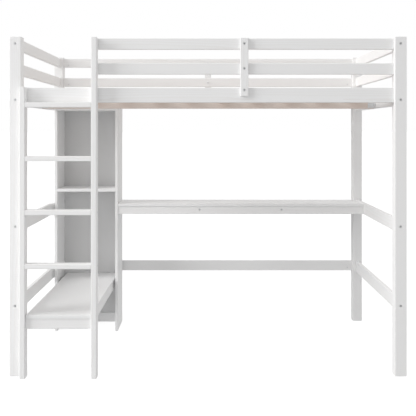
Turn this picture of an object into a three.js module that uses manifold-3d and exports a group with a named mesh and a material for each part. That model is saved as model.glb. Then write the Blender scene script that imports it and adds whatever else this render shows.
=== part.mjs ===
// A twin loft bed in white-lacquered pine, with a ladder, a low step platform, an open shelf
// unit and a desk under the deck. Millimetres: X runs along the bed, Y from the ladder side
// towards the wall side, Z up. The origin is the middle of the footprint, on the floor.
import * as THREE from "three";
import { mergeVertices } from "three/addons/utils/BufferGeometryUtils.js";
import Module from "manifold-3d";

// ---------- driving dimensions ----------
const joint = 0.3; // gap left wherever two pieces meet

// corner posts, outside sizes of the bed
const bedLength = 2019;
const bedWidth = 1070;
const bedHeight = 1726;
const postWide = 60;
const postDeep = 57;

// rails: planks set on edge between the posts, in the middle of the posts' section
const railThick = 22;
const guardHigh = 57;
const guardSpacing = 127; // from one guard rail's top to the next one's
const guardBelowPostTop = 6;
const sideRailHigh = 76;
const sideRailBelowPostTop = 258;
const bedEndRailHigh = 57;
const lowEndRailHigh = 70;
const lowEndRailTop = 393;
const lowRearRailHigh = 65;
const lowRearRailTop = 392;
const uprightWide = 41; // short uprights that tie the guard rails to the side rail
const uprightLap = 44; // how far they lap down over the side rail
const frontUprightX = 185;
const rearUprightX = 0;

// deck that carries the mattress
const ledgerHigh = 24;
const ledgerThick = 22;
const beamHigh = 39;
const beamThick = 40;
const slatCount = 10;
const slatWide = 95;
const slatThick = 16;
const bracketLeg = 37;
const bracketThick = 2;
const bracketMargin = 3; // how far the bracket stays inside the beam's height

// ladder, bolted to the outside of the side rail
const ladderWide = 388;
const ladderProud = 36; // how far it stands out in front of the posts
const stileThick = 27.5;
const rungCount = 4;
const rungHigh = 25;
const rungDeep = 51;
const rungBelowSideRail = 1;
const rungDatum = 305; // the rungs are spaced evenly up from this height

// step platform between the ladder and the shelf unit
const platformTop = 318;
const platformSetback = 12; // behind the front of the ladder
const platformSideGap = 2.5;
const platformOverhang = 4; // of the board's front edge over the apron
const boardThick = 18;
const platformApronHigh = 53;
const platformApronThick = 22;
const platformRailHigh = 46;
const platformRailThick = 20;

// shelf unit
const shelfPastLadder = 4; // the unit is this much wider than the ladder, towards the bed's end
const shelfDeep = 230;
const panelThick = 16;
const shelfBelowSideRail = 3;
const middleShelfTop = 886;
const backThick = 9;
const plinthHigh = 58;

// desk
const deskTop = 792;
const deskThick = 16;
const deskOverhang = 5; // of the desk's front edge over its apron
const deskApronHigh = 48;
const deskApronThick = 20;
const battenHigh = 40;
const battenThick = 22;
const battenCount = 2;
const midEndRailHigh = 70;
const midEndRailAboveDesk = 4;

// edges and fixings
const timberRound = 3;
const boardRound = 1.2;
const boltBore = 8;
const boltHeadBore = 14;
const boltHeadSink = 3;
const headBoreSides = 12;
const nutBore = 10;
const nutSetback = 32; // from a rail's end to its barrel nut
const nutPast = 6; // how far the bolt runs past the nut
const nutSkin = 5; // wood left between a nut's bore and the rail's outer face
const boltStagger = 13; // keeps crossing bolts in one post apart
const footBoltUp = 31; // from an upright's foot to its lowest bolt
const stileBoltInto = 30; // how far the ladder's bolts run into its stiles
const screwBore = 5;
const screwInto = 30;

// ---------- planes worked out from the driving dimensions ----------
const outerX = bedLength / 2;
const postInnerX = outerX - postWide;
const postMiddleX = outerX - postWide / 2;
const endRailInnerX = postMiddleX - railThick / 2;
const frontY = (ladderProud - bedWidth) / 2;
const rearY = frontY + bedWidth;
const railInset = (postDeep - railThick) / 2;
const frontRailY = frontY + railInset;
const rearRailY = rearY - railInset - railThick;
const frontPostBackY = frontY + postDeep;
const rearPostFrontY = rearY - postDeep;
const middleY = (frontY + rearY) / 2;

const guardTop = bedHeight - guardBelowPostTop;
const lowerGuardTop = guardTop - guardSpacing;
const sideRailTop = bedHeight - sideRailBelowPostTop;
const sideRailBottom = sideRailTop - sideRailHigh;
const ledgerTop = sideRailBottom + ledgerHigh;
const beamBottom = ledgerTop - beamHigh;
const bedEndRailTop = beamBottom + bedEndRailHigh;
const midEndRailTop = deskTop + midEndRailAboveDesk;

const ladderLeftX = -postInnerX + joint;
const ladderRightX = ladderLeftX + ladderWide;
const ladderFrontY = frontY - ladderProud;
const stileInnerLeftX = ladderLeftX + stileThick;
const stileInnerRightX = ladderRightX - stileThick;
const sideBoltZ = (ledgerTop + sideRailTop) / 2; // clear of the ledger behind the side rail
const topRungTop = sideRailBottom - rungBelowSideRail;
const rungPitch = (topRungTop - rungDatum) / rungCount;

const shelfRightX = ladderRightX;
const shelfLeftX = ladderLeftX - shelfPastLadder;
const shelfInnerLeftX = shelfLeftX + panelThick;
const shelfInnerRightX = shelfRightX - panelThick;
const shelfRearY = rearPostFrontY - joint;
const shelfFrontY = shelfRearY - shelfDeep;
const backFrontY = shelfRearY - backThick;
const shelfTop = sideRailBottom - shelfBelowSideRail;

const platformFrontY = ladderFrontY + platformSetback;
const platformUnder = platformTop - boardThick;
const deskUnder = deskTop - deskThick;

// ---------- looks of the materials ----------
const whitePine = new THREE.MeshStandardMaterial({ color: 0xf1f1f0, roughness: 0.45, metalness: 0 });
const whiteBoard = new THREE.MeshStandardMaterial({ color: 0xececeb, roughness: 0.5, metalness: 0 });
const rawPine = new THREE.MeshStandardMaterial({ color: 0xd9c19c, roughness: 0.7, metalness: 0 });
const zincSteel = new THREE.MeshStandardMaterial({ color: 0xa9adae, roughness: 0.4, metalness: 1 });

// ---------- making a piece ----------
const axes = ["x", "y", "z"];

// The distance between two planes, less the joint gap at each.
const between = (low, high) => [low + joint, high - joint];
const up = (low, size) => [low, low + size];
const down = (high, size) => [high - size, high];
const about = (middle, size) => [middle - size / 2, middle + size / 2];
const middleOf = ([low, high]) => (low + high) / 2;
const sizeOf = ([low, high]) => high - low;

// A rectangle with rounded corners, centred on the origin.
function roundedRectangle(wide, high, radius) {
  const x = wide / 2 - radius;
  const y = high / 2 - radius;
  const outline = new THREE.Shape();
  outline.absarc(x, y, radius, 0, Math.PI / 2);
  outline.absarc(-x, y, radius, Math.PI / 2, Math.PI);
  outline.absarc(-x, -y, radius, Math.PI, 1.5 * Math.PI);
  outline.absarc(x, -y, radius, 1.5 * Math.PI, 2 * Math.PI);
  outline.closePath();
  return outline;
}

// An outline extruded along one world axis: its own X and Y turn to the two axes that follow.
function extruded(name, along, outline, length, place, material) {
  const geometry = new THREE.ExtrudeGeometry(outline, {
    depth: length,
    bevelEnabled: false,
    curveSegments: 1,
  });
  geometry.translate(0, 0, -length / 2);
  const mesh = new THREE.Mesh(geometry, material);
  mesh.name = name;
  const first = axes.indexOf(along);
  const unit = [new THREE.Vector3(1, 0, 0), new THREE.Vector3(0, 1, 0), new THREE.Vector3(0, 0, 1)];
  const turn = new THREE.Matrix4().makeBasis(unit[(first + 1) % 3], unit[(first + 2) % 3], unit[first]);
  mesh.quaternion.setFromRotationMatrix(turn);
  mesh.position.copy(place);
  return mesh;
}

const middleOfSpans = (spans) => new THREE.Vector3(middleOf(spans.x), middleOf(spans.y), middleOf(spans.z));

// A plank that fills its spans in X, Y and Z, with its long edges rounded along its grain.
function plank(name, along, spans, material, round = timberRound) {
  const first = axes.indexOf(along);
  const wide = sizeOf(spans[axes[(first + 1) % 3]]);
  const high = sizeOf(spans[axes[(first + 2) % 3]]);
  const radius = Math.min(round, wide / 3, high / 3);
  const outline = roundedRectangle(wide, high, radius);
  return extruded(name, along, outline, sizeOf(spans[along]), middleOfSpans(spans), material);
}

const board = (name, along, spans) => plank(name, along, spans, whiteBoard, boardRound);

// ---------- drilling ----------
const wasm = await Module();
wasm.setup();

function solidOf(geometry) {
  const bare = geometry.clone();
  bare.deleteAttribute("normal");
  bare.deleteAttribute("uv");
  const merged = mergeVertices(bare, 1e-4);
  const vertProperties = new Float32Array(merged.attributes.position.array);
  const triVerts = new Uint32Array(merged.index.array);
  return new wasm.Manifold(new wasm.Mesh({ numProp: 3, vertProperties, triVerts }));
}

function geometryOf(solid) {
  const made = solid.getMesh();
  const geometry = new THREE.BufferGeometry();
  geometry.setAttribute("position", new THREE.BufferAttribute(new Float32Array(made.vertProperties), 3));
  geometry.setIndex(new THREE.BufferAttribute(new Uint32Array(made.triVerts), 1));
  geometry.computeVertexNormals();
  return geometry;
}

// A straight bore between two points of one world axis.
function bore(along, from, to, place, diameter, boreSides = 8) {
  const geometry = new THREE.CylinderGeometry(diameter / 2, diameter / 2, Math.abs(to - from), boreSides);
  if (along === "x") geometry.rotateZ(Math.PI / 2);
  if (along === "z") geometry.rotateX(Math.PI / 2);
  const middle = { ...place, [along]: (from + to) / 2 };
  geometry.translate(middle.x, middle.y, middle.z);
  return geometry;
}

function cut(mesh, bores) {
  mesh.updateMatrix();
  const toLocal = mesh.matrix.clone().invert();
  let solid = solidOf(mesh.geometry);
  for (const hole of bores) {
    solid = solid.subtract(solidOf(hole.clone().applyMatrix4(toLocal)));
  }
  mesh.geometry = geometryOf(solid);
}

// ---------- the bed's frame ----------
const sides = { left: -1, right: 1 };
const mirrored = (sign, low, high) => (sign > 0 ? [low, high] : [-high, -low]);

function posts() {
  const rows = { front: up(frontY, postDeep), rear: down(rearY, postDeep) };
  return Object.entries(sides).flatMap(([side, sign]) =>
    Object.entries(rows).map(([row, y]) => {
      const spans = { x: mirrored(sign, postInnerX, outerX), y, z: [0, bedHeight] };
      return plank(`${row}_${side}_post`, "z", spans, whitePine);
    }),
  );
}

const endRailLevels = {
  upper_guard: down(guardTop, guardHigh),
  lower_guard: down(lowerGuardTop, guardHigh),
  bed: down(bedEndRailTop, bedEndRailHigh),
  mid: down(midEndRailTop, midEndRailHigh),
  low: down(lowEndRailTop, lowEndRailHigh),
};

function endRails() {
  return Object.entries(sides).flatMap(([side, sign]) =>
    Object.entries(endRailLevels).map(([level, z]) => {
      const x = mirrored(sign, endRailInnerX, endRailInnerX + railThick);
      const y = between(frontPostBackY, rearPostFrontY);
      return plank(`${side}_end_${level}_rail`, "y", { x, y, z }, whitePine);
    }),
  );
}

const longRails = {
  front_side_rail: down(sideRailTop, sideRailHigh),
  front_upper_guard_rail: down(guardTop, guardHigh),
  front_lower_guard_rail: down(lowerGuardTop, guardHigh),
  rear_side_rail: down(sideRailTop, sideRailHigh),
  rear_upper_guard_rail: down(guardTop, guardHigh),
  rear_lower_guard_rail: down(lowerGuardTop, guardHigh),
  rear_mid_rail: down(deskTop, guardHigh),
  rear_low_rail: down(lowRearRailTop, lowRearRailHigh),
};
const isFront = (name) => name.startsWith("front_");
// The front guard rails stop at the ladder's tall stile, which leaves the way in beside them.
const stopsAtLadder = (name) => isFront(name) && name.includes("guard");

function railsAlongBed() {
  return Object.entries(longRails).map(([name, z]) => {
    const [postLeft, postRight] = between(-postInnerX, postInnerX);
    const x = [stopsAtLadder(name) ? stileInnerRightX : postLeft, postRight];
    const y = up(isFront(name) ? frontRailY : rearRailY, railThick);
    return plank(name, "x", { x, y, z }, whitePine);
  });
}

// Each upright fills the depth between its rails' outer faces and the outer face of the posts.
function guardUprights() {
  const z = [sideRailTop - uprightLap, guardTop];
  const front = { x: about(frontUprightX, uprightWide), y: [frontY, frontRailY - joint], z };
  const rear = { x: about(rearUprightX, uprightWide), y: [rearRailY + railThick + joint, rearY], z };
  return [
    plank("front_guard_upright", "z", front, whitePine),
    plank("rear_guard_upright", "z", rear, whitePine),
  ];
}

// ---------- the deck ----------
function ledgers() {
  const x = between(-postInnerX, postInnerX);
  const z = down(ledgerTop, ledgerHigh);
  const front = up(frontRailY + railThick + joint, ledgerThick);
  const rear = down(rearRailY - joint, ledgerThick);
  return [
    plank("front_ledger", "x", { x, y: front, z }, rawPine, boardRound),
    plank("rear_ledger", "x", { x, y: rear, z }, rawPine, boardRound),
  ];
}

function centreBeam() {
  const x = between(-endRailInnerX, endRailInnerX);
  const spans = { x, y: about(middleY, beamThick), z: down(ledgerTop, beamHigh) };
  return plank("centre_beam", "x", spans, rawPine, boardRound);
}

// A steel angle: one leg lies on the beam's front face, the other on the end rail.
function beamBrackets() {
  const beamFrontY = middleY - beamThick / 2 - joint;
  const z = [beamBottom + bracketMargin, ledgerTop - bracketMargin];
  return Object.entries(sides).map(([side, sign]) => {
    const wallX = sign * (endRailInnerX - joint);
    const outline = new THREE.Shape();
    outline.moveTo(wallX, beamFrontY);
    outline.lineTo(wallX - sign * bracketLeg, beamFrontY);
    outline.lineTo(wallX - sign * bracketLeg, beamFrontY - bracketThick);
    outline.lineTo(wallX - sign * bracketThick, beamFrontY - bracketThick);
    outline.lineTo(wallX - sign * bracketThick, beamFrontY - bracketLeg);
    outline.lineTo(wallX, beamFrontY - bracketLeg);
    outline.closePath();
    const place = new THREE.Vector3(0, 0, middleOf(z));
    return extruded(`${side}_beam_bracket`, "z", outline, sizeOf(z), place, zincSteel);
  });
}

function slats() {
  const pitch = (2 * postInnerX) / slatCount;
  const y = between(frontRailY + railThick, rearRailY);
  const z = up(ledgerTop + joint, slatThick);
  return Array.from({ length: slatCount }, (_, index) => {
    const middle = (index - (slatCount - 1) / 2) * pitch;
    const number = String(index + 1).padStart(2, "0");
    return plank(`slat_${number}`, "y", { x: about(middle, slatWide), y, z }, rawPine, boardRound);
  });
}

// ---------- the ladder ----------
const stileY = [ladderFrontY, frontRailY - joint];

function ladderStiles() {
  const left = { x: up(ladderLeftX, stileThick), y: stileY, z: [0, sideRailTop] };
  const right = { x: down(ladderRightX, stileThick), y: stileY, z: [0, guardTop] };
  return [
    plank("ladder_short_stile", "z", left, whitePine),
    plank("ladder_tall_stile", "z", right, whitePine),
  ];
}

const rungSpans = Array.from({ length: rungCount }, (_, index) => ({
  x: between(stileInnerLeftX, stileInnerRightX),
  y: up(ladderFrontY, Math.min(rungDeep, sizeOf(stileY))),
  z: down(rungDatum + (index + 1) * rungPitch, rungHigh),
}));

const ladderRungs = () =>
  rungSpans.map((spans, index) => plank(`ladder_rung_${index + 1}`, "x", spans, whitePine));

// ---------- the step platform ----------
const platformX = [stileInnerLeftX + platformSideGap, stileInnerRightX - platformSideGap];
const platformApronFrontY = platformFrontY + platformOverhang;
const platformApronBackY = platformApronFrontY + platformApronThick;
const rearCleatY = down(backFrontY - joint, platformRailThick);
const platformRailZ = down(platformUnder - joint, platformRailHigh);

function platform() {
  const boardY = [platformFrontY, backFrontY - joint];
  const top = { x: platformX, y: boardY, z: [platformUnder, platformTop] };
  const apron = {
    x: between(stileInnerLeftX, stileInnerRightX),
    y: up(platformApronFrontY, platformApronThick),
    z: down(platformUnder - joint, platformApronHigh),
  };
  const railY = between(platformApronBackY, rearCleatY[0]);
  const cleatX = between(shelfInnerLeftX, shelfInnerRightX);
  const left = { x: up(platformX[0], platformRailThick), y: railY, z: platformRailZ };
  const right = { x: down(platformX[1], platformRailThick), y: railY, z: platformRailZ };
  return [
    board("platform_board", "y", top),
    plank("platform_front_apron", "x", apron, whitePine),
    plank("platform_left_rail", "y", left, whitePine),
    plank("platform_right_rail", "y", right, whitePine),
    plank("platform_rear_cleat", "x", { x: cleatX, y: rearCleatY, z: platformRailZ }, whitePine),
  ];
}

// ---------- the shelf unit ----------
function shelfUnit() {
  const panelY = [shelfFrontY, shelfRearY];
  const insideX = between(shelfInnerLeftX, shelfInnerRightX);
  const insideY = [shelfFrontY, backFrontY - joint];
  const left = { x: up(shelfLeftX, panelThick), y: panelY, z: [0, shelfTop] };
  const right = { x: down(shelfRightX, panelThick), y: panelY, z: [0, shelfTop] };
  const top = { x: insideX, y: panelY, z: down(shelfTop, panelThick) };
  const middle = { x: insideX, y: insideY, z: down(middleShelfTop, boardThick) };
  const back = { x: insideX, y: [backFrontY, shelfRearY], z: between(plinthHigh, shelfTop - panelThick) };
  const plinth = { x: insideX, y: down(shelfRearY, panelThick), z: [0, plinthHigh] };
  return [
    board("shelf_left_panel", "z", left),
    board("shelf_right_panel", "z", right),
    board("shelf_top_panel", "x", top),
    board("shelf_middle_board", "x", middle),
    board("shelf_back_panel", "z", back),
    board("shelf_plinth", "x", plinth),
  ];
}

// ---------- the desk ----------
const deskX = between(shelfRightX, endRailInnerX);
const deskApronFrontY = shelfFrontY + deskOverhang;
const deskApronBackY = deskApronFrontY + deskApronThick;

// The desk top reaches back to the rear rail, so its far corner is notched round the rear post.
function deskBoard() {
  const rear = rearRailY - joint;
  const notchX = postInnerX - joint;
  const notchY = rearPostFrontY - joint;
  const outline = new THREE.Shape();
  outline.moveTo(deskX[0], shelfFrontY);
  outline.lineTo(deskX[1], shelfFrontY);
  outline.lineTo(deskX[1], notchY);
  outline.lineTo(notchX, notchY);
  outline.lineTo(notchX, rear);
  outline.lineTo(deskX[0], rear);
  outline.closePath();
  const place = new THREE.Vector3(0, 0, (deskTop + deskUnder) / 2);
  return extruded("desk_top", "z", outline, deskThick, place, whiteBoard);
}

const battenMiddles = Array.from({ length: battenCount }, (_, index) =>
  deskX[0] + (sizeOf(deskX) * (index + 1)) / (battenCount + 1),
);

function desk() {
  const apronZ = down(deskUnder - joint, deskApronHigh);
  const apron = { x: deskX, y: up(deskApronFrontY, deskApronThick), z: apronZ };
  const battens = battenMiddles.map((middle, index) => {
    const spans = {
      x: about(middle, battenThick),
      y: between(deskApronBackY, rearRailY),
      z: down(deskUnder - joint, battenHigh),
    };
    return plank(`desk_batten_${index + 1}`, "y", spans, whitePine);
  });
  return [deskBoard(), plank("desk_apron", "x", apron, whitePine), ...battens];
}

// ---------- bolted joints ----------
const bores = new Map();
const addBore = (name, hole) => bores.set(name, [...(bores.get(name) ?? []), hole]);

// The bore for a bolt that enters a piece at its outer face, with a wider one for its head.
function boreForBolt(name, along, outside, to, place) {
  const inward = Math.sign(to - outside);
  addBore(name, bore(along, outside - inward, to, place, boltBore));
  const sunk = outside + inward * boltHeadSink;
  addBore(name, bore(along, outside - inward, sunk, place, boltHeadBore, headBoreSides));
}

// A bolt passes through the post from its outer face into the rail's end, where a barrel nut
// set across the rail's thickness takes it.
function boltedJoint({ post, rail, along, outside, railEnd, nutAlong, nutFrom, nutTo, place }) {
  const inward = Math.sign(railEnd - outside);
  const nut = railEnd + inward * nutSetback;
  boreForBolt(post, along, outside, railEnd, place);
  addBore(rail, bore(along, railEnd - inward, nut + inward * nutPast, place, boltBore));
  const open = nutFrom - Math.sign(nutTo - nutFrom);
  addBore(rail, bore(nutAlong, open, nutTo, { ...place, [along]: nut }, nutBore));
}

// The end rails' bolts come in through the posts' front and rear faces. The nuts of all the
// rails go in from the bed's inner side, so that the outer faces stay plain.
const boltedEndRails = ["upper_guard", "bed", "mid", "low"];

function endRailJoints() {
  for (const [side, sign] of Object.entries(sides)) {
    for (const level of boltedEndRails) {
      const place = { x: sign * postMiddleX, z: middleOf(endRailLevels[level]) };
      const nutFrom = sign * endRailInnerX;
      const nut = { nutAlong: "x", nutFrom, nutTo: nutFrom + sign * (railThick - nutSkin) };
      const common = { rail: `${side}_end_${level}_rail`, along: "y", place, ...nut };
      const front = { post: `front_${side}_post`, outside: frontY, railEnd: frontPostBackY };
      const rear = { post: `rear_${side}_post`, outside: rearY, railEnd: rearPostFrontY };
      boltedJoint({ ...common, ...front });
      boltedJoint({ ...common, ...rear });
    }
  }
}

// The long rails' bolts come in through the posts' end faces, a little off the others' height.
function longRailJoints() {
  for (const [name, z] of Object.entries(longRails)) {
    const row = isFront(name) ? "front" : "rear";
    const railY = isFront(name) ? frontRailY : rearRailY;
    const [nutFrom, outward] = isFront(name) ? [railY + railThick, -1] : [railY, 1];
    const ends = stopsAtLadder(name) ? ["right"] : Object.keys(sides);
    for (const side of ends) {
      boltedJoint({
        post: `${row}_${side}_post`,
        rail: name,
        along: "x",
        outside: sides[side] * outerX,
        railEnd: sides[side] * postInnerX,
        nutAlong: "y",
        nutFrom,
        nutTo: nutFrom + outward * (railThick - nutSkin),
        place: { y: railY + railThick / 2, z: middleOf(z) - boltStagger },
      });
    }
  }
}

// A bolt passes through one piece, its head let into the far face, and on into the piece behind.
function throughBolt({ headPiece, headFace, meeting, farPiece, farEnd, place }) {
  const inward = Math.sign(farEnd - headFace);
  boreForBolt(headPiece, "y", headFace, meeting + inward, place);
  addBore(farPiece, bore("y", meeting - inward, farEnd, place, boltBore));
}

const guardMiddles = { lower_guard: lowerGuardTop - guardHigh / 2, upper_guard: guardTop - guardHigh / 2 };

// Each upright is bolted to both guard rails and, low down, to the side rail.
function uprightJoints() {
  const levels = { side: sideRailTop - uprightLap + footBoltUp, ...guardMiddles };
  const rows = {
    front: { x: frontUprightX, headFace: frontY, meeting: frontRailY, farEnd: frontRailY + railThick + 1 },
    rear: { x: rearUprightX, headFace: rearY, meeting: rearRailY + railThick, farEnd: rearRailY - 1 },
  };
  for (const [row, { x, ...depths }] of Object.entries(rows)) {
    for (const [level, z] of Object.entries(levels)) {
      const pieces = { headPiece: `${row}_guard_upright`, farPiece: `${row}_${level}_rail` };
      throughBolt({ ...pieces, ...depths, place: { x, z } });
    }
  }
}

// The ladder's bolts come from the deck's side: one in the short stile, three in the tall one.
function ladderJoints() {
  const headFace = frontRailY + railThick;
  const depths = { headFace, meeting: frontRailY, farEnd: frontRailY - stileBoltInto };
  const stiles = {
    ladder_short_stile: { x: ladderLeftX + stileThick / 2, levels: { side: sideBoltZ } },
    ladder_tall_stile: { x: ladderRightX - stileThick / 2, levels: { side: sideBoltZ, ...guardMiddles } },
  };
  for (const [farPiece, { x, levels }] of Object.entries(stiles)) {
    for (const [level, z] of Object.entries(levels)) {
      throughBolt({ headPiece: `front_${level}_rail`, farPiece, ...depths, place: { x, z } });
    }
  }
}

// Each batten under the desk is bolted through the apron.
function deskJoints() {
  battenMiddles.forEach((middle, index) => {
    boltedJoint({
      post: "desk_apron",
      rail: `desk_batten_${index + 1}`,
      along: "y",
      outside: deskApronFrontY,
      railEnd: deskApronBackY,
      nutAlong: "x",
      nutFrom: middle - battenThick / 2,
      nutTo: middle + battenThick / 2 + 1,
      place: { x: middle, z: deskUnder - joint - battenHigh / 2 },
    });
  });
}

// Each rung is held by one screw through each stile.
function rungJoints() {
  const stiles = [
    { name: "ladder_short_stile", outside: ladderLeftX, inner: stileInnerLeftX },
    { name: "ladder_tall_stile", outside: ladderRightX, inner: stileInnerRightX },
  ];
  rungSpans.forEach((spans, index) => {
    const place = { y: middleOf(spans.y), z: middleOf(spans.z) };
    for (const { name, outside, inner } of stiles) {
      const inward = Math.sign(inner - outside);
      addBore(name, bore("x", outside - inward, inner + inward, place, screwBore));
      const screwTip = inner + inward * screwInto;
      addBore(`ladder_rung_${index + 1}`, bore("x", inner - inward, screwTip, place, screwBore));
    }
  });
}

// ---------- the whole bed ----------
const bed = new THREE.Group();
bed.name = "loft_bed_with_desk";
const frame = new THREE.Group().add(...posts(), ...endRails(), ...railsAlongBed(), ...guardUprights());
const deck = new THREE.Group().add(...ledgers(), centreBeam(), ...beamBrackets(), ...slats());
const ladder = new THREE.Group().add(...ladderStiles(), ...ladderRungs());
const furniture = new THREE.Group().add(...platform(), ...shelfUnit(), ...desk());
bed.add(frame, deck, ladder, furniture);

endRailJoints();
longRailJoints();
uprightJoints();
ladderJoints();
deskJoints();
rungJoints();
for (const [name, holes] of bores) cut(bed.getObjectByName(name), holes);

export default bed;
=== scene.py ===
"""A white-lacquered pine loft bed with a desk, in Blender: its finishes, fixings and a plain studio.

Everything is in metres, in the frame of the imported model: X runs along the bed, Y from the ladder side
to the wall side, Z up. The file is laid out as an add-on, with one operator for each group of pieces.
"""

import math
import random

import bmesh
import bpy
from mathutils import Matrix, Vector


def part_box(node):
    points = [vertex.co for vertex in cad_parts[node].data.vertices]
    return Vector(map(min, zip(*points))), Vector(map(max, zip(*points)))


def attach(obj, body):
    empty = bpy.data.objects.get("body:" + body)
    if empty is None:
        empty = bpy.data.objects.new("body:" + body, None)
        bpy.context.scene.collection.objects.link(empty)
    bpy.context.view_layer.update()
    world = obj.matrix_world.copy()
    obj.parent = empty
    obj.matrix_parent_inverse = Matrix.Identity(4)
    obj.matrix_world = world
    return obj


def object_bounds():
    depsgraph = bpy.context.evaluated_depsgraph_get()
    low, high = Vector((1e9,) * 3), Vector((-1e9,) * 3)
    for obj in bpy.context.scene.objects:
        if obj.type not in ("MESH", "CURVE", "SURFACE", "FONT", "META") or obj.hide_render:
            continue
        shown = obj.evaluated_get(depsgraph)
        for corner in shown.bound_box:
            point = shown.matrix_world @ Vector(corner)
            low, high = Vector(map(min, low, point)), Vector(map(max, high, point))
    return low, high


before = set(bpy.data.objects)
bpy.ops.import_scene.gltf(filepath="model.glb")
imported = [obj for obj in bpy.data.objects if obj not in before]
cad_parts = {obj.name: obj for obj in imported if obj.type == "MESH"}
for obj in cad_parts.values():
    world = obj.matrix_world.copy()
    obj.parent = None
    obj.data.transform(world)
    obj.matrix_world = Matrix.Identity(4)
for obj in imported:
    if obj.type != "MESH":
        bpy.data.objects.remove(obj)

bl_info = {
    "name": "Loft Bed With Desk",
    "version": (1, 0, 0),
    "blender": (4, 5, 0),
    "location": "View3D > Sidebar > Loft Bed",
    "description": "Finishes, fixings and a studio for a white pine loft bed with a desk",
    "category": "Add Mesh",
}

MM = 0.001
CAD_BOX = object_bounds()
BODY = "root"
WHITE = (1, 1, 1, 1)

# Which pieces are cut from which stock. The rest of the bed is lacquered pine.
BOARD_PIECES = (
    "platform_board", "shelf_left_panel", "shelf_right_panel", "shelf_top_panel",
    "shelf_middle_board", "shelf_plinth", "desk_top",
)
BACKING_PIECES = ("shelf_back_panel",)
SLATS = tuple(f"slat_{number:02d}" for number in range(1, 11))
RAW_PIECES = ("centre_beam", "front_ledger", "rear_ledger") + SLATS
BRACKETS = ("left_beam_bracket", "right_beam_bracket")
OTHER_PIECES = BOARD_PIECES + BACKING_PIECES + RAW_PIECES + BRACKETS
PINE_PIECES = tuple(name for name in sorted(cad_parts) if name not in OTHER_PIECES)


# ---------- sizes and colours a user would change ----------
def linear(hex_value):
    """An sRGB hex colour as the linear RGBA that shaders take."""
    values = [int(hex_value[i:i + 2], 16) / 255 for i in (0, 2, 4)]
    return tuple(v / 12.92 if v <= 0.04045 else ((v + 0.055) / 1.055) ** 2.4 for v in values) + (1.0,)


def length(name, description, millimetres):
    """A size that a user would change."""
    return bpy.props.FloatProperty(
        name=name, description=description, default=millimetres * MM, min=0,
        subtype="DISTANCE", unit="LENGTH")


def number(name, description, value, unit="NONE"):
    """A strength, power or other number that a user would change."""
    return bpy.props.FloatProperty(
        name=name, description=description, default=value, min=0, unit=unit)


def colour(name, description, hex_value):
    """A colour that a user would change."""
    return bpy.props.FloatVectorProperty(
        name=name, description=description, default=linear(hex_value), size=4, min=0, max=1,
        subtype="COLOR")


class LoftBedFinishes(bpy.types.PropertyGroup):
    """Finishes of the timber, board and steel."""
    lacquer: colour("Lacquer", "Colour of the sprayed white lacquer", "F5F5F5")
    lacquer_on_latewood: colour("Lacquer on latewood", "The lacquer over the hard dark rings", "F1F0EF")
    board: colour("Board", "Colour of the painted board", "F2F2F2")
    # Painted shade: this grey stands in for the shade inside the shelf, not for a greyer paint on the board.
    backing: colour("Backing", "Colour of the thinly painted hardboard behind the shelf", "DADADA")
    earlywood: colour("Earlywood", "Pale part of the raw pine's rings", "F0E7E1")
    latewood: colour("Latewood", "Dark part of the raw pine's rings", "DDCBBE")
    zinc: colour("Zinc", "Colour of the zinc plating", "E8E9EA")
    timber_edge: length("Timber edge", "Softening of the timber's cut ends and corners", 1.2)
    board_edge: length("Board edge", "Softening of the board's edges", 0.8)
    bracket_edge: length("Bracket edge", "Softening of the brackets' pressed edges", 0.3)
    ring_spacing: length("Ring spacing", "From one growth ring to the next", 6)


class LoftBedFixings(bpy.types.PropertyGroup):
    """Sizes of the bolts, nuts and screws."""
    head_across: length("Bolt head", "Diameter of a bolt's flat head", 13)
    head_thick: length("Head thickness", "Thickness of a bolt's flat head", 2.4)
    head_sunk: length("Head bore", "How deep the head's bore is", 3)
    shank_across: length("Bolt shank", "Diameter of a bolt's shank", 6)
    socket_across: length("Hex socket", "Width across the flats of a bolt's socket", 5)
    nut_across: length("Barrel nut", "Diameter of a barrel nut", 9.4)
    nut_setback: length("Nut setback", "From a rail's end to its barrel nut", 32)
    bolt_stagger: length("Bolt stagger", "How far a long rail's bolts lie below its middle", 13)
    foot_bolt_up: length("Foot bolt", "From an upright's foot to its lowest bolt", 31)
    post_bolt_long: length("Post bolt", "Length of a bolt through a post", 80)
    ladder_bolt_long: length("Ladder bolt", "Length of a bolt into a ladder stile", 50)
    desk_bolt_long: length("Desk bolt", "Length of a bolt into a desk batten", 56)
    rail_nut_long: length("Rail nut", "Length of a barrel nut in a rail", 15)
    desk_nut_long: length("Desk nut", "Length of a barrel nut in a desk batten", 20)
    cap_nut_flats: length("Cap nut", "Width across the flats of a domed nut", 10)
    screw_head: length("Screw head", "Diameter of a screw's low round head", 7.6)
    screw_shank: length("Screw shank", "Diameter of a screw's shank", 4)
    screw_rise: length("Screw rise", "Height of a screw's head above the wood", 1.8)
    rung_screw_long: length("Rung screw", "Length of a screw into a rung", 55)
    bracket_screw_long: length("Bracket screw", "Length of a screw through a bracket", 18)
    slat_screw_long: length("Slat screw", "Length of a screw through a slat", 34)


class LoftBedStudio(bpy.types.PropertyGroup):
    """Camera and lights."""
    camera_back: length("Camera distance", "From the posts' front to the camera", 3480)
    camera_high: length("Camera height", "From the floor to the camera", 1253)
    lens: number("Lens", "Focal length on a 36 mm wide sensor", 59.3, unit="CAMERA")
    key_strength: number("Key light", "Strength of the big far softbox on the left", 1.84)
    left_power: number("Left light", "Power of the softbox off the ladder's end", 81, unit="POWER")
    front_power: number("Front light", "Power of the softbox left of the camera", 28, unit="POWER")
    sky_above: number("Sky above", "Strength of the soft light from the ceiling", 1.07)
    sky_below: number("Sky below", "Strength of the soft light thrown up by the floor", 0.61)
    sky_front: number("Sky in front", "Strength of the soft light from the camera's side", 0.41)
    sky_behind: number("Sky behind", "Strength of the soft light from the backdrop", 0.65)
    sky_right: number("Sky on the right", "Strength of the soft light from the right", 0.68)
    floor_glow: number("Floor glow", "Light that the pale floor gives off by itself", 0.88)


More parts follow.
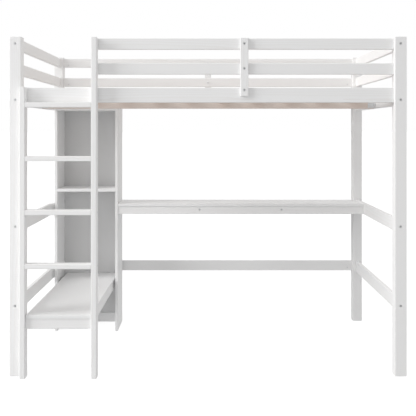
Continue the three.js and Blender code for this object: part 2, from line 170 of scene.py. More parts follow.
# ---------- nodes and finishes ----------
# How many of a pattern's features lie in a metre.
GRAIN_BENDS = 9.0  # across the grain, a bend about every 110 mm
FIBRES = 500.0  # real ones are about 0.03 mm wide, and are drawn 2 mm wide so that they show
PEEL_DIMPLES = 260.0  # real ones are 1 to 2 mm across, and are drawn about 4 mm across so that they show
PAINT_CLOUDS = 5.0  # a cloud every 200 mm
PLATING_CLOUDS = 350.0  # real crystals are under 1 mm, and are drawn about 3 mm across so that they show

BEND_STRETCH = 0.12  # a bend's width as a share of its length
FIBRE_STRETCH = 0.03  # a fibre's width as a share of its length
RING_STRAY = 22 * MM  # how far the rings stray at a bend
LATEWOOD_LATENESS = 2.5  # the higher, the later in a ring its dark part comes
THICKER_COAT = 1.02  # how much paler the paint is where it lies thickest


def add_node(tree, kind, settings=None, inputs=None):
    """Adds a node of a kind. Inputs are values or sockets, by an input's name or number."""
    node = tree.nodes.new(kind)
    for name, value in (settings or {}).items():
        setattr(node, name, value)
    for name, value in (inputs or {}).items():
        if isinstance(value, bpy.types.NodeSocket):
            tree.links.new(value, node.inputs[name])
        else:
            node.inputs[name].default_value = value
    return node


def new_material(name):
    """An empty material with its output node, and the tree that holds them."""
    material = bpy.data.materials.new(name)
    material.use_nodes = True
    tree = material.node_tree
    tree.nodes.clear()
    return material, tree


def finish_with(tree, shader):
    """Makes a shader the surface of its material."""
    add_node(tree, "ShaderNodeOutputMaterial", inputs={"Surface": shader.outputs["BSDF"]})


def growth_rings(tree, ring_spacing):
    """Wood in the round, as (ring, fibre), each from 0 to 1.

    Each plank carries where its tree's heart was and which way its grain runs, so that long faces show
    streaks and arches, and cut ends show arcs.
    """
    place = add_node(tree, "ShaderNodeTexCoord").outputs["Object"]
    heart = add_node(tree, "ShaderNodeAttribute", {"attribute_type": "OBJECT", "attribute_name": "heart"})
    turn = add_node(tree, "ShaderNodeAttribute", {"attribute_type": "OBJECT", "attribute_name": "grain_turn"})
    from_heart = add_node(tree, "ShaderNodeVectorMath", {"operation": "SUBTRACT"}, {
        0: place, 1: heart.outputs["Vector"]})
    along_z = add_node(tree, "ShaderNodeVectorRotate", {"rotation_type": "EULER_XYZ"}, {
        "Vector": from_heart.outputs[0], "Rotation": turn.outputs["Vector"]})
    stretched = add_node(tree, "ShaderNodeMapping", inputs={
        "Vector": along_z.outputs[0], "Scale": (1, 1, BEND_STRETCH)})
    wander = add_node(tree, "ShaderNodeTexNoise", inputs={
        "Vector": stretched.outputs[0], "Scale": GRAIN_BENDS, "Detail": 3.0, "Roughness": 0.55})
    shift = add_node(tree, "ShaderNodeVectorMath", {"operation": "MULTIPLY_ADD"}, {
        0: wander.outputs["Color"], 1: (RING_STRAY, RING_STRAY, 0), 2: along_z.outputs[0]})
    flat = add_node(tree, "ShaderNodeVectorMath", {"operation": "MULTIPLY"}, {
        0: shift.outputs[0], 1: (1, 1, 0)})
    radius = add_node(tree, "ShaderNodeVectorMath", {"operation": "LENGTH"}, {0: flat.outputs[0]})
    count = add_node(tree, "ShaderNodeMath", {"operation": "DIVIDE"}, {
        0: radius.outputs["Value"], 1: ring_spacing})
    year = add_node(tree, "ShaderNodeMath", {"operation": "FRACT"}, {0: count.outputs[0]})
    ring = add_node(tree, "ShaderNodeMath", {"operation": "POWER"}, {
        0: year.outputs[0], 1: LATEWOOD_LATENESS})
    fibre_place = add_node(tree, "ShaderNodeMapping", inputs={
        "Vector": along_z.outputs[0], "Scale": (1, 1, FIBRE_STRETCH)})
    fibre = add_node(tree, "ShaderNodeTexNoise", inputs={
        "Vector": fibre_place.outputs[0], "Scale": FIBRES, "Detail": 2.0, "Roughness": 0.6})
    return ring.outputs[0], fibre.outputs["Fac"]


def lacquered_pine(finishes):
    """White lacquer sprayed on planed pine: satin white, with the grain only just showing through.

    The soft wood between the rings sinks a little under the film, which gives faint streaks and ridges.
    """
    material, tree = new_material("lacquered_pine")
    ring, fibre = growth_rings(tree, finishes.ring_spacing)
    tone = add_node(tree, "ShaderNodeMix", {"data_type": "RGBA"}, {
        "Factor": ring, "A": finishes.lacquer, "B": finishes.lacquer_on_latewood})
    relief = add_node(tree, "ShaderNodeMath", {"operation": "MULTIPLY_ADD"}, {0: fibre, 1: 0.6, 2: ring})
    bump = add_node(tree, "ShaderNodeBump", inputs={
        "Strength": 0.35, "Distance": 0.12 * MM, "Height": relief.outputs[0]})
    gloss = add_node(tree, "ShaderNodeMapRange", inputs={
        "Value": fibre, "From Min": 0.3, "From Max": 0.7, "To Min": 0.38, "To Max": 0.5})
    shader = add_node(tree, "ShaderNodeBsdfPrincipled", inputs={
        "Base Color": tone.outputs["Result"], "Roughness": gloss.outputs["Result"],
        "IOR": 1.5, "Normal": bump.outputs["Normal"]})
    finish_with(tree, shader)
    return material


def rolled_paint(name, coat):
    """Paint put on by a short-nap roller: even and satin, faintly cloudy, with a slight orange peel."""
    material, tree = new_material(name)
    place = add_node(tree, "ShaderNodeTexCoord").outputs["Object"]
    peel = add_node(tree, "ShaderNodeTexNoise", inputs={
        "Vector": place, "Scale": PEEL_DIMPLES, "Detail": 2.0, "Roughness": 0.5})
    cloud = add_node(tree, "ShaderNodeTexNoise", inputs={
        "Vector": place, "Scale": PAINT_CLOUDS, "Detail": 2.0})
    shade = add_node(tree, "ShaderNodeMapRange", inputs={
        "Value": cloud.outputs["Fac"], "From Min": 0.3, "From Max": 0.7, "To Min": 0.0, "To Max": 1.0})
    thicker = [value * THICKER_COAT for value in coat[:3]] + [1.0]
    tone = add_node(tree, "ShaderNodeMix", {"data_type": "RGBA"}, {
        "Factor": shade.outputs["Result"], "A": coat, "B": thicker})
    gloss = add_node(tree, "ShaderNodeMapRange", inputs={
        "Value": peel.outputs["Fac"], "From Min": 0.3, "From Max": 0.7, "To Min": 0.36, "To Max": 0.46})
    bump = add_node(tree, "ShaderNodeBump", inputs={
        "Strength": 0.2, "Distance": 0.08 * MM, "Height": peel.outputs["Fac"]})
    shader = add_node(tree, "ShaderNodeBsdfPrincipled", inputs={
        "Base Color": tone.outputs["Result"], "Roughness": gloss.outputs["Result"],
        "IOR": 1.5, "Normal": bump.outputs["Normal"]})
    finish_with(tree, shader)
    return material


def painted_board(finishes):
    """White paint on fibreboard."""
    return rolled_paint("painted_board", finishes.board)


def shade_greyed_paint(finishes):
    """The rolled white paint on the shelf's back panel, made greyer as painted shade for the dim inside of
    the shelf.
    """
    return rolled_paint("shade_greyed_paint", finishes.backing)


def unsealed_pine(finishes):
    """Planed, unsealed pine: dry and matt, with pale earlywood and darker latewood lines."""
    material, tree = new_material("unsealed_pine")
    ring, fibre = growth_rings(tree, finishes.ring_spacing)
    grain = add_node(tree, "ShaderNodeMix", {"data_type": "RGBA"}, {
        "Factor": ring, "A": finishes.earlywood, "B": finishes.latewood})
    speck = add_node(tree, "ShaderNodeMapRange", inputs={
        "Value": fibre, "From Min": 0.3, "From Max": 0.75, "To Min": 0.0, "To Max": 0.22})
    tone = add_node(tree, "ShaderNodeMix", {"data_type": "RGBA", "blend_type": "MULTIPLY"}, {
        "Factor": speck.outputs["Result"], "A": grain.outputs["Result"], "B": finishes.latewood})
    relief = add_node(tree, "ShaderNodeMath", {"operation": "MULTIPLY_ADD"}, {0: fibre, 1: 0.8, 2: ring})
    bump = add_node(tree, "ShaderNodeBump", inputs={
        "Strength": 0.4, "Distance": 0.2 * MM, "Height": relief.outputs[0]})
    shader = add_node(tree, "ShaderNodeBsdfPrincipled", inputs={
        "Base Color": tone.outputs["Result"], "Roughness": 0.72, "IOR": 1.5,
        "Normal": bump.outputs["Normal"]})
    finish_with(tree, shader)
    return material


def zinc_plated_steel(finishes):
    """Bright zinc plating on steel: a cool grey metal, cloudy where the plating's crystals vary."""
    material, tree = new_material("zinc_plated_steel")
    place = add_node(tree, "ShaderNodeTexCoord").outputs["Object"]
    cloud = add_node(tree, "ShaderNodeTexNoise", inputs={
        "Vector": place, "Scale": PLATING_CLOUDS, "Detail": 3.0})
    gloss = add_node(tree, "ShaderNodeMapRange", inputs={
        "Value": cloud.outputs["Fac"], "From Min": 0.3, "From Max": 0.7, "To Min": 0.42, "To Max": 0.6})
    shader = add_node(tree, "ShaderNodeBsdfPrincipled", inputs={
        "Base Color": finishes.zinc, "Metallic": 1.0, "Roughness": gloss.outputs["Result"]})
    finish_with(tree, shader)
    return material


def finished(maker):
    """The material that a function makes, made the first time that it is asked for."""
    return bpy.data.materials.get(maker.__name__) or maker(bpy.context.scene.loft_bed_finishes)


# ---------- dressing the frame's own pieces ----------
# The turn that stands a plank up on its end, for a plank that runs along X, Y or Z.
GRAIN_TURNS = ((0, -math.pi / 2, 0), (math.pi / 2, 0, 0), (0, 0, 0))
HEART_AWAY = (35 * MM, 110 * MM)  # from a plank's middle to the heart of its tree
ALONG_TREE = 500 * MM  # how far up or down the tree a plank may come from
GRAIN_LEAN = math.radians(1.2)  # how far the grain may lean


def soften_edges(piece, width):
    """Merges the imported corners, joins flat facets, then rounds the sharp edges that are left."""
    weld = piece.modifiers.new("merge_corners", "WELD")
    weld.merge_threshold = 0.01 * MM
    flatten = piece.modifiers.new("join_facets", "DECIMATE")
    flatten.decimate_type = "DISSOLVE"
    flatten.angle_limit = math.radians(1)
    bevel = piece.modifiers.new("soften_edges", "BEVEL")
    bevel.width = width
    bevel.segments = 2
    bevel.limit_method = "ANGLE"
    bevel.angle_limit = math.radians(60)


def set_grain(piece, dice):
    """Says where the heart of a plank's tree was. The grain runs along the plank's longest side."""
    low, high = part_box(piece.name)
    size = high - low
    along = max(range(3), key=lambda axis: size[axis])
    across = [axis for axis in range(3) if axis != along]
    angle = dice.uniform(0, 2 * math.pi)
    away = dice.uniform(*HEART_AWAY)
    heart = (low + high) / 2
    heart[across[0]] += away * math.cos(angle)
    heart[across[1]] += away * math.sin(angle)
    heart[along] += dice.uniform(-ALONG_TREE, ALONG_TREE)
    lean = [dice.uniform(-GRAIN_LEAN, GRAIN_LEAN) for _ in range(3)]
    piece["heart"] = list(heart)
    piece["grain_turn"] = [turn + slight for turn, slight in zip(GRAIN_TURNS[along], lean)]


def dress(names, maker, edge):
    """Gives CAD nodes their finish, grain and softened edges."""
    dice = random.Random(len(names))
    for name in names:
        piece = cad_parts[name]
        for material_slot in piece.material_slots:
            material_slot.link = "OBJECT"
            material_slot.material = finished(maker)
        set_grain(piece, dice)
        soften_edges(piece, edge)


# ---------- building the fixings ----------
BOLT_EDGE = 0.5 * MM  # a bolt head's broken edge
NUT_EDGE = 0.6 * MM  # a barrel nut's broken edges
NUT_SLOT_WIDE = 1.6 * MM
NUT_SLOT_DEEP = 1.5 * MM
SMOOTH_BELOW = math.radians(35)  # edges that turn by more than this stay sharp


def turned(mesh, profile, sides):
    """Turns a profile of (radius, height) points about Z and closes it at both ends."""
    rings = []
    for radius, height in profile:
        angles = [2 * math.pi * n / sides for n in range(sides)]
        rings.append([mesh.verts.new((radius * math.cos(a), radius * math.sin(a), height)) for a in angles])
    for lower, upper in zip(rings, rings[1:]):
        for n in range(sides):
            after = (n + 1) % sides
            mesh.faces.new((lower[n], lower[after], upper[after], upper[n]))
    mesh.faces.new(rings[0][::-1])
    return mesh.faces.new(rings[-1])


def hexagon(across_flats):
    """The outline of a hexagonal socket."""
    corner = across_flats / math.sqrt(3)
    return [(corner * math.cos(math.pi * n / 3), corner * math.sin(math.pi * n / 3)) for n in range(6)]


def slot_outline(long, wide):
    """The outline of a screwdriver's slot."""
    tip, side = long / 2, wide / 2
    return [(tip, -side), (tip, side), (-tip, side), (-tip, -side)]


def cross_outline(long, wide):
    """The outline of a cross recess, one arm after another."""
    tip, side = long / 2, wide / 2
    arm = [Vector((tip, -side)), Vector((tip, side)), Vector((side, side))]
    turns = [Matrix.Rotation(math.pi / 2 * n, 2) for n in range(4)]
    return [tuple(turn @ corner) for turn in turns for corner in arm]


def sink_socket(mesh, top, outline, deep):
    """Sinks a socket of a given outline into a flat round top."""
    height = top.verts[0].co.z
    mesh.faces.remove(top)
    mouth = [mesh.verts.new((x, y, height)) for x, y in outline]
    floor = [mesh.verts.new((x, y, height - deep)) for x, y in outline]
    for n in range(len(outline)):
        after = (n + 1) % len(outline)
        mesh.faces.new((mouth[after], mouth[n], floor[n], floor[after]))
    mesh.faces.new(floor)
    bmesh.ops.bridge_loops(mesh, edges=[edge for edge in mesh.edges if edge.is_boundary])


def bolt_mesh(fixings, long):
    """A flat-headed bolt along Z: the head's top at 0 and the shank below it."""
    mesh = bmesh.new()
    head = fixings.head_across / 2
    shank = fixings.shank_across / 2
    thick = fixings.head_thick
    profile = [(shank, -long), (shank, -thick), (head, -thick), (head, -BOLT_EDGE), (head - BOLT_EDGE, 0)]
    top = turned(mesh, profile, sides=36)
    sink_socket(mesh, top, hexagon(fixings.socket_across), deep=thick * 0.9)
    return mesh


def nut_mesh(fixings, long):
    """A barrel nut along Z: its slotted end at 0 and its body below it."""
    mesh = bmesh.new()
    side = fixings.nut_across / 2
    tip = side - NUT_EDGE
    top = turned(mesh, [(tip, -long), (side, NUT_EDGE - long), (side, -NUT_EDGE), (tip, 0)], sides=28)
    sink_socket(mesh, top, slot_outline(side * 1.5, NUT_SLOT_WIDE), NUT_SLOT_DEEP)
    return mesh


def quarter_turn(*degrees):
    """Points on a quarter of a circle of radius 1, as (across, up)."""
    return [(math.cos(math.radians(turn)), math.sin(math.radians(turn))) for turn in degrees]


def screw_mesh(fixings, long):
    """A low round-headed screw along Z: the underside of its head at 0 and its shank below it."""
    mesh = bmesh.new()
    head = fixings.screw_head / 2
    shank = fixings.screw_shank / 2
    rise = fixings.screw_rise
    # The point tapers over three times the shank's radius, and the recess takes up most of the head.
    point = [(shank * 0.2, -long), (shank, shank * 3 - long)]
    bulge = [(head * across, rise * up) for across, up in quarter_turn(20, 40, 60)]
    top = turned(mesh, [*point, (shank, 0), (head, 0), *bulge], sides=24)
    sink_socket(mesh, top, cross_outline(head * 0.8, head * 0.22), deep=rise * 0.7)
    return mesh


def cap_nut_mesh(fixings):
    """A domed nut along Z that sits on a face at 0 and closes a bolt's end."""
    mesh = bmesh.new()
    collar = fixings.cap_nut_flats / 2
    corner = fixings.cap_nut_flats / math.sqrt(3)
    # A six-sided collar with broken rims, and a dome that is a little narrower than its flats.
    foot = [(corner * 0.94, 0), (corner, collar * 0.12)]
    shoulder = [(corner, collar * 0.85), (corner * 0.9, collar)]
    turned(mesh, foot + shoulder, sides=6)
    dome = fixings.cap_nut_flats * 0.44
    profile = [(dome * across, collar * 0.9 + dome * up) for across, up in quarter_turn(0, 22, 44, 66, 84)]
    turned(mesh, profile, sides=24)
    return mesh


def place_along(point, direction):
    """Stands something made along Z at a point, with its top facing a direction."""
    return Matrix.Translation(point) @ Vector(direction).to_track_quat("Z", "Y").to_matrix().to_4x4()


def assemble(name, template, places):
    """One named piece of plated steel, made of a copy of the template at each place."""
    piece_mesh = bmesh.new()
    part = bpy.data.meshes.new(name + "_part")
    template.to_mesh(part)
    for place in places:
        part_copy = part.copy()
        part_copy.transform(place)
        piece_mesh.from_mesh(part_copy)
        bpy.data.meshes.remove(part_copy)
    bpy.data.meshes.remove(part)
    template.free()
    bmesh.ops.recalc_face_normals(piece_mesh, faces=piece_mesh.faces)
    mesh = bpy.data.meshes.new(name)
    piece_mesh.to_mesh(mesh)
    piece_mesh.free()
    piece = bpy.data.objects.new(name, mesh)
    bpy.context.scene.collection.objects.link(piece)
    mesh.materials.append(finished(zinc_plated_steel))
    mesh.shade_smooth()
    mesh.set_sharp_from_angle(angle=SMOOTH_BELOW)
    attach(piece, BODY)


# ---------- where the fixings go ----------
def middle(node):
    """The middle of a CAD node's box."""
    low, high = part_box(node)
    return (low + high) / 2


NUT_SUNK = 0.5 * MM  # how far a barrel nut lies under the rail's face
TOUCHING = 2 * MM  # a rail that ends nearer than this to a post is bolted to it
BRACKET_PLATE = 2 * MM  # thickness of a bracket's plate
SCREW_ALONG_LEG = 0.6  # how far along a bracket's leg its screws are
ENDS = {"left": -1, "right": 1}
ROWS = {"front": -1, "rear": 1}
BOLTED_END_LEVELS = ("upper_guard", "bed", "mid", "low")
LONG_RAILS = {
    "front": ("side", "upper_guard", "lower_guard"),
    "rear": ("side", "upper_guard", "lower_guard", "mid", "low"),
}


def end_rail_bolt_places(row, end, sunk):
    """Bolts through one post's front or rear face into the rails across the bed's end."""
    post_low, post_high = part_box(f"{row}_{end}_post")
    outward = ROWS[row]
    face = post_high.y if outward > 0 else post_low.y
    x = middle(f"{row}_{end}_post").x
    return [place_along((x, face - outward * sunk, middle(f"{end}_end_{level}_rail").z), (0, outward, 0))
            for level in BOLTED_END_LEVELS]


def bolted_long_rails(row, end):
    """The long rails that reach one post. The front guard rails stop short at the ladder."""
    post_low, post_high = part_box(f"{row}_{end}_post")
    outward = ENDS[end]
    post_side = post_low.x if outward > 0 else post_high.x
    rails = []
    for level in LONG_RAILS[row]:
        low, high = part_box(f"{row}_{level}_rail")
        rail_end = high.x if outward > 0 else low.x
        if abs(rail_end - post_side) < TOUCHING:
            rails.append((f"{row}_{level}_rail", rail_end))
    return rails


def long_rail_bolt_places(row, end, sunk, stagger):
    """Bolts through one post's end face into the rails along the bed."""
    post_low, post_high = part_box(f"{row}_{end}_post")
    outward = ENDS[end]
    face = post_high.x if outward > 0 else post_low.x
    places = []
    for rail, _ in bolted_long_rails(row, end):
        at = middle(rail)
        places.append(place_along((face - outward * sunk, at.y, at.z - stagger), (outward, 0, 0)))
    return places


def end_rail_nut_places(end, setback):
    """Barrel nuts in the inner faces of the rails across one end."""
    inward = -ENDS[end]
    places = []
    for level in BOLTED_END_LEVELS:
        low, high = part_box(f"{end}_end_{level}_rail")
        face = high.x if inward > 0 else low.x
        height = (low.z + high.z) / 2
        for y in (low.y + setback, high.y - setback):
            places.append(place_along((face - inward * NUT_SUNK, y, height), (inward, 0, 0)))
    return places


def long_rail_nut_places(row, setback, stagger):
    """Barrel nuts in the inner faces of the rails along one side."""
    inward = -ROWS[row]
    places = []
    for end in ENDS:
        for rail, rail_end in bolted_long_rails(row, end):
            low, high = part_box(rail)
            face = high.y if inward > 0 else low.y
            x = rail_end - ENDS[end] * setback
            height = middle(rail).z - stagger
            places.append(place_along((x, face - inward * NUT_SUNK, height), (0, inward, 0)))
    return places


def upright_heights(row, foot_bolt_up):
    """The heights of an upright's bolts: near its foot, and at the middle of each guard rail."""
    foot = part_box(f"{row}_guard_upright")[0].z
    guards = [middle(f"{row}_{level}_guard_rail").z for level in ("lower", "upper")]
    return [foot + foot_bolt_up, *guards]


def ladder_bolt_places(fixings):
    """Bolts from the deck's side through the rails into the ladder's stiles."""
    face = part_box("front_side_rail")[1].y - (fixings.head_sunk - fixings.head_thick)
    side_height = (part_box("front_ledger")[1].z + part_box("front_side_rail")[1].z) / 2
    guards = [middle(f"front_{level}_guard_rail").z for level in ("lower", "upper")]
    bolts = [("ladder_short_stile", side_height)]
    bolts += [("ladder_tall_stile", height) for height in (side_height, *guards)]
    return [place_along((middle(stile).x, face, height), (0, 1, 0)) for stile, height in bolts]


def rung_screw_places():
    """One screw through each stile into each end of every rung."""
    stile_faces = {-1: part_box("ladder_short_stile")[0].x, 1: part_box("ladder_tall_stile")[1].x}
    rungs = [middle(f"ladder_rung_{number}") for number in range(1, 5)]
    return [place_along((face, rung.y, rung.z), (outward, 0, 0))
            for outward, face in stile_faces.items() for rung in rungs]


def bracket_screw_places():
    """Two screws through each leg of each bracket, one above the other."""
    places = []
    for end, outward in ENDS.items():
        low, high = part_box(f"{end}_beam_bracket")
        leg = (high.x - low.x) * SCREW_ALONG_LEG
        wall = high.x if outward > 0 else low.x
        height = (low.z + high.z) / 2
        rise = (high.z - low.z) / 4
        for z in (height - rise, height + rise):
            places.append(place_along((wall - outward * leg, high.y - BRACKET_PLATE, z), (0, -1, 0)))
            places.append(place_along((wall - outward * BRACKET_PLATE, high.y - leg, z), (-outward, 0, 0)))
    return places


def slat_screw_places():
    """One screw down through each end of every slat into its ledger."""
    ledgers = [middle("front_ledger").y, middle("rear_ledger").y]
    return [place_along((middle(slat).x, y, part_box(slat)[1].z), (0, 0, 1))
            for slat in SLATS for y in ledgers]


# ---------- operators ----------
class LOFTBED_OT_lacquered_timber(bpy.types.Operator):
    """Lacquers the posts, rails, uprights, ladder and aprons and softens their edges"""
    bl_idname = "loft_bed.lacquered_timber"
    bl_label = "Lacquered timber"

    def execute(self, context):
        dress(PINE_PIECES, lacquered_pine, context.scene.loft_bed_finishes.timber_edge)
        return {"FINISHED"}


class LOFTBED_OT_painted_boards(bpy.types.Operator):
    """Paints the platform, shelf and desk boards and softens their edges"""
    bl_idname = "loft_bed.painted_boards"
    bl_label = "Painted boards"

    def execute(self, context):
        edge = context.scene.loft_bed_finishes.board_edge
        dress(BOARD_PIECES, painted_board, edge)
        # The back panel's greyer paint is painted shade for the inside of the shelf.
        dress(BACKING_PIECES, shade_greyed_paint, edge)
        return {"FINISHED"}


class LOFTBED_OT_raw_deck(bpy.types.Operator):
    """Gives the beam, ledgers and slats their raw pine"""
    bl_idname = "loft_bed.raw_deck"
    bl_label = "Raw pine deck"

    def execute(self, context):
        dress(RAW_PIECES, unsealed_pine, context.scene.loft_bed_finishes.timber_edge)
        return {"FINISHED"}


class LOFTBED_OT_beam_brackets(bpy.types.Operator):
    """Plates the two angle brackets that hold the centre beam"""
    bl_idname = "loft_bed.beam_brackets"
    bl_label = "Beam brackets"

    def execute(self, context):
        dress(BRACKETS, zinc_plated_steel, context.scene.loft_bed_finishes.bracket_edge)
        return {"FINISHED"}


class LOFTBED_OT_post_bolts(bpy.types.Operator):
    """Makes the bolts that hold the rails to the four posts"""
    bl_idname = "loft_bed.post_bolts"
    bl_label = "Post bolts"

    def execute(self, context):
        fixings = context.scene.loft_bed_fixings
        sunk = fixings.head_sunk - fixings.head_thick
        for row in ROWS:
            for end in ENDS:
                places = end_rail_bolt_places(row, end, sunk)
                places += long_rail_bolt_places(row, end, sunk, fixings.bolt_stagger)
                template = bolt_mesh(fixings, fixings.post_bolt_long)
                assemble(f"{row}_{end}_post_bolts", template, places)
        return {"FINISHED"}


class LOFTBED_OT_rail_nuts(bpy.types.Operator):
    """Makes the barrel nuts that take the rails' bolts, in the rails' inner faces"""
    bl_idname = "loft_bed.rail_nuts"
    bl_label = "Rail nuts"

    def execute(self, context):
        fixings = context.scene.loft_bed_fixings
        for end in ENDS:
            places = end_rail_nut_places(end, fixings.nut_setback)
            assemble(f"{end}_end_rail_nuts", nut_mesh(fixings, fixings.rail_nut_long), places)
        for row in ROWS:
            places = long_rail_nut_places(row, fixings.nut_setback, fixings.bolt_stagger)
            assemble(f"{row}_rail_nuts", nut_mesh(fixings, fixings.rail_nut_long), places)
        return {"FINISHED"}


class LOFTBED_OT_upright_bolts(bpy.types.Operator):
    """Makes the bolts and domed nuts that hold the guard uprights to their rails"""
    bl_idname = "loft_bed.upright_bolts"
    bl_label = "Upright bolts"

    def execute(self, context):
        fixings = context.scene.loft_bed_fixings
        sunk = fixings.head_sunk - fixings.head_thick
        for row, outward in ROWS.items():
            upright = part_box(f"{row}_guard_upright")
            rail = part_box(f"{row}_side_rail")
            face = upright[1].y if outward > 0 else upright[0].y
            inner = rail[0].y if outward > 0 else rail[1].y
            x = middle(f"{row}_guard_upright").x
            heights = upright_heights(row, fixings.foot_bolt_up)
            heads = [place_along((x, face - outward * sunk, z), (0, outward, 0)) for z in heights]
            nuts = [place_along((x, inner, z), (0, -outward, 0)) for z in heights]
            assemble(f"{row}_upright_bolts", bolt_mesh(fixings, abs(inner - face)), heads)
            assemble(f"{row}_upright_nuts", cap_nut_mesh(fixings), nuts)
        return {"FINISHED"}


class LOFTBED_OT_ladder_fixings(bpy.types.Operator):
    """Makes the ladder's bolts and the screws that hold its rungs"""
    bl_idname = "loft_bed.ladder_fixings"
    bl_label = "Ladder fixings"

    def execute(self, context):
        fixings = context.scene.loft_bed_fixings
        assemble("ladder_bolts", bolt_mesh(fixings, fixings.ladder_bolt_long), ladder_bolt_places(fixings))
        assemble("rung_screws", screw_mesh(fixings, fixings.rung_screw_long), rung_screw_places())
        return {"FINISHED"}


class LOFTBED_OT_desk_fixings(bpy.types.Operator):
    """Makes the bolts in the desk's apron and the nuts in its battens"""
    bl_idname = "loft_bed.desk_fixings"
    bl_label = "Desk fixings"

    def execute(self, context):
        fixings = context.scene.loft_bed_fixings
        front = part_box("desk_apron")[0].y + fixings.head_sunk - fixings.head_thick
        bolts = []
        nuts = []
        for number in (1, 2):
            low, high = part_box(f"desk_batten_{number}")
            at = middle(f"desk_batten_{number}")
            bolts.append(place_along((at.x, front, at.z), (0, -1, 0)))
            nuts.append(place_along((high.x - NUT_SUNK, low.y + fixings.nut_setback, at.z), (1, 0, 0)))
        assemble("desk_bolts", bolt_mesh(fixings, fixings.desk_bolt_long), bolts)
        assemble("desk_nuts", nut_mesh(fixings, fixings.desk_nut_long), nuts)
        return {"FINISHED"}


class LOFTBED_OT_deck_screws(bpy.types.Operator):
    """Makes the screws in the beam's brackets and in the slats"""
    bl_idname = "loft_bed.deck_screws"
    bl_label = "Deck screws"

    def execute(self, context):
        fixings = context.scene.loft_bed_fixings
        assemble("bracket_screws", screw_mesh(fixings, fixings.bracket_screw_long), bracket_screw_places())
        assemble("slat_screws", screw_mesh(fixings, fixings.slat_screw_long), slat_screw_places())
        return {"FINISHED"}


class LOFTBED_OT_studio(bpy.types.Operator):
    """Sets the pale floor, the soft lights and the camera"""
    bl_idname = "loft_bed.studio"
    bl_label = "Studio"

    def execute(self, context):
        studio = context.scene.loft_bed_studio
        lay_floor(studio)
        light_studio(studio)
        place_camera(studio)
        return {"FINISHED"}


# ---------- the studio ----------
FLOOR_HALF = 400  # from the floor's middle to its edge, in metres
FLOOR_DROP = 0.2 * MM  # how far the floor lies below the feet
KEY_BEARING = (-72, 25)  # degrees to the right of the camera's side, and degrees above the floor
KEY_SPREAD = 35  # degrees that the key light takes up, seen from the bed
LEFT_SOFTBOX = {"place": (-5.2, -1.8, 1.3), "size": 3.0}
FRONT_SOFTBOX = {"place": (-2.2, -4.8, 1.2), "size": 3.2}
SENSOR_WIDE = 36  # millimetres
VIEW_SHIFT = -0.188  # share of the sensor's width by which the level camera looks down


def lay_floor(studio):
    """A pale floor that glows softly by itself and takes no part in lighting the bed."""
    mesh = bpy.data.meshes.new("studio_floor")
    plan = bmesh.new()
    bmesh.ops.create_grid(plan, x_segments=8, y_segments=8, size=FLOOR_HALF)
    plan.to_mesh(mesh)
    plan.free()
    floor = bpy.data.objects.new("studio_floor", mesh)
    floor.location.z = -FLOOR_DROP
    bpy.context.scene.collection.objects.link(floor)
    material, tree = new_material("studio_paper")
    shader = add_node(tree, "ShaderNodeBsdfPrincipled", inputs={
        "Base Color": (0.25, 0.25, 0.25, 1), "Roughness": 0.9, "Specular IOR Level": 0.0,
        "Emission Color": WHITE, "Emission Strength": studio.floor_glow})
    finish_with(tree, shader)
    mesh.materials.append(material)
    floor.visible_diffuse = False
    floor.visible_glossy = False
    floor.visible_shadow = False


def light_surroundings(studio):
    """A soft sky with its own strength on each side, which the camera sees as one even white.

    Each side's glow fades with the square of the cosine, away from that side.
    """
    world = bpy.data.worlds.new("studio_sky")
    world.use_nodes = True
    tree = world.node_tree
    tree.nodes.clear()
    sight = add_node(tree, "ShaderNodeTexCoord").outputs["Generated"]
    strength = 0.0
    glows = {
        (0, 0, 1): studio.sky_above,
        (0, 0, -1): studio.sky_below,
        (0, -1, 0): studio.sky_front,
        (0, 1, 0): studio.sky_behind,
        (1, 0, 0): studio.sky_right,
    }
    for direction, glow in glows.items():
        facing = add_node(tree, "ShaderNodeVectorMath", {"operation": "DOT_PRODUCT"}, {
            0: sight, 1: direction})
        ahead = add_node(tree, "ShaderNodeMath", {"operation": "MAXIMUM"}, {
            0: facing.outputs["Value"], 1: 0.0})
        faded = add_node(tree, "ShaderNodeMath", {"operation": "POWER"}, {0: ahead.outputs[0], 1: 2.0})
        total = add_node(tree, "ShaderNodeMath", {"operation": "MULTIPLY_ADD"}, {
            0: faded.outputs[0], 1: glow, 2: strength})
        strength = total.outputs[0]
    light = add_node(tree, "ShaderNodeBackground", inputs={"Color": WHITE, "Strength": strength})
    backdrop = add_node(tree, "ShaderNodeBackground", inputs={"Color": WHITE, "Strength": 1.0})
    seen = add_node(tree, "ShaderNodeLightPath").outputs["Is Camera Ray"]
    mix = add_node(tree, "ShaderNodeMixShader", inputs={
        0: seen, 1: light.outputs[0], 2: backdrop.outputs[0]})
    add_node(tree, "ShaderNodeOutputWorld", inputs={"Surface": mix.outputs[0]})
    bpy.context.scene.world = world


def add_lamp(name, kind, towards, settings):
    """A lamp that shines from a direction towards the bed's middle."""
    light = bpy.data.lights.new(name, kind)
    for setting, value in settings.items():
        setattr(light, setting, value)
    lamp = bpy.data.objects.new(name, light)
    lamp.rotation_euler = Vector(towards).to_track_quat("Z", "Y").to_euler()
    bpy.context.scene.collection.objects.link(lamp)
    return lamp


def bearing(degrees_right, degrees_up):
    """A direction given by how far it lies to the right of the camera's side and above the floor."""
    right, rise = math.radians(degrees_right), math.radians(degrees_up)
    return Vector((math.sin(right) * math.cos(rise), -math.cos(right) * math.cos(rise), math.sin(rise)))


def add_softbox(name, place, size, power):
    """A square softbox, aimed at the bed's middle."""
    bed_middle = (CAD_BOX[0] + CAD_BOX[1]) / 2
    lamp = add_lamp(name, "AREA", Vector(place) - bed_middle, {"energy": power, "size": size})
    lamp.location = place


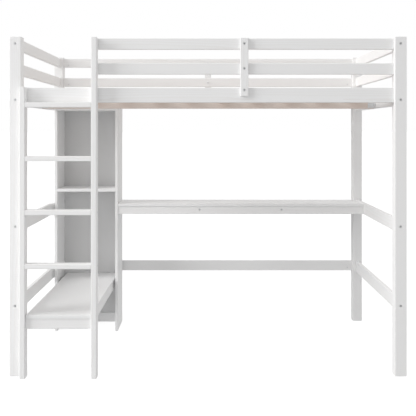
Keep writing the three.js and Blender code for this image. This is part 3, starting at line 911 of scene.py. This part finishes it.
def light_studio(studio):
    """A key light so far off that it lights the whole bed evenly, two nearer softboxes, and the sky."""
    light_surroundings(studio)
    add_lamp("key_softbox", "SUN", bearing(*KEY_BEARING), {
        "energy": studio.key_strength, "angle": math.radians(KEY_SPREAD)})
    add_softbox("left_softbox", power=studio.left_power, **LEFT_SOFTBOX)
    add_softbox("front_softbox", power=studio.front_power, **FRONT_SOFTBOX)
    bpy.context.scene.view_settings.view_transform = "Standard"


def place_camera(studio):
    """A level camera in front of the bed's middle."""
    scene = bpy.context.scene
    lens = bpy.data.cameras.new("camera")
    lens.lens = studio.lens
    lens.sensor_width = SENSOR_WIDE
    lens.shift_y = VIEW_SHIFT
    camera = bpy.data.objects.new("camera", lens)
    posts_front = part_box("front_left_post")[0].y
    camera.location = (0, posts_front - studio.camera_back, studio.camera_high)
    camera.rotation_euler = (math.pi / 2, 0, 0)
    scene.collection.objects.link(camera)
    scene.camera = camera


# ---------- the add-on ----------
class LOFTBED_PT_panel(bpy.types.Panel):
    """Lists the steps that make the loft bed, and their sizes and colours"""
    bl_idname = "LOFTBED_PT_panel"
    bl_label = "Loft Bed"
    bl_space_type = "VIEW_3D"
    bl_region_type = "UI"
    bl_category = "Loft Bed"

    def draw(self, context):
        for operator in OPERATORS:
            self.layout.operator(operator.bl_idname)
        for group in SETTINGS:
            settings = getattr(context.scene, group)
            for name in settings.bl_rna.properties.keys():
                if name not in ("rna_type", "name"):
                    self.layout.prop(settings, name)


OPERATORS = (
    LOFTBED_OT_lacquered_timber,
    LOFTBED_OT_painted_boards,
    LOFTBED_OT_raw_deck,
    LOFTBED_OT_beam_brackets,
    LOFTBED_OT_post_bolts,
    LOFTBED_OT_rail_nuts,
    LOFTBED_OT_upright_bolts,
    LOFTBED_OT_ladder_fixings,
    LOFTBED_OT_desk_fixings,
    LOFTBED_OT_deck_screws,
    LOFTBED_OT_studio,
)
SETTINGS = {
    "loft_bed_finishes": LoftBedFinishes,
    "loft_bed_fixings": LoftBedFixings,
    "loft_bed_studio": LoftBedStudio,
}


def register():
    """Registers the settings, the operators and the panel."""
    for settings in SETTINGS.values():
        bpy.utils.register_class(settings)
    for name, settings in SETTINGS.items():
        setattr(bpy.types.Scene, name, bpy.props.PointerProperty(type=settings))
    for operator in OPERATORS:
        bpy.utils.register_class(operator)
    bpy.utils.register_class(LOFTBED_PT_panel)


def unregister():
    """Takes away what register added."""
    bpy.utils.unregister_class(LOFTBED_PT_panel)
    for operator in reversed(OPERATORS):
        bpy.utils.unregister_class(operator)
    for name, settings in SETTINGS.items():
        delattr(bpy.types.Scene, name)
        bpy.utils.unregister_class(settings)


def main():
    """Makes everything."""
    register()
    for operator in OPERATORS:
        group, step = operator.bl_idname.split(".")
        getattr(getattr(bpy.ops, group), step)()


if __name__ == "__main__":
    main()
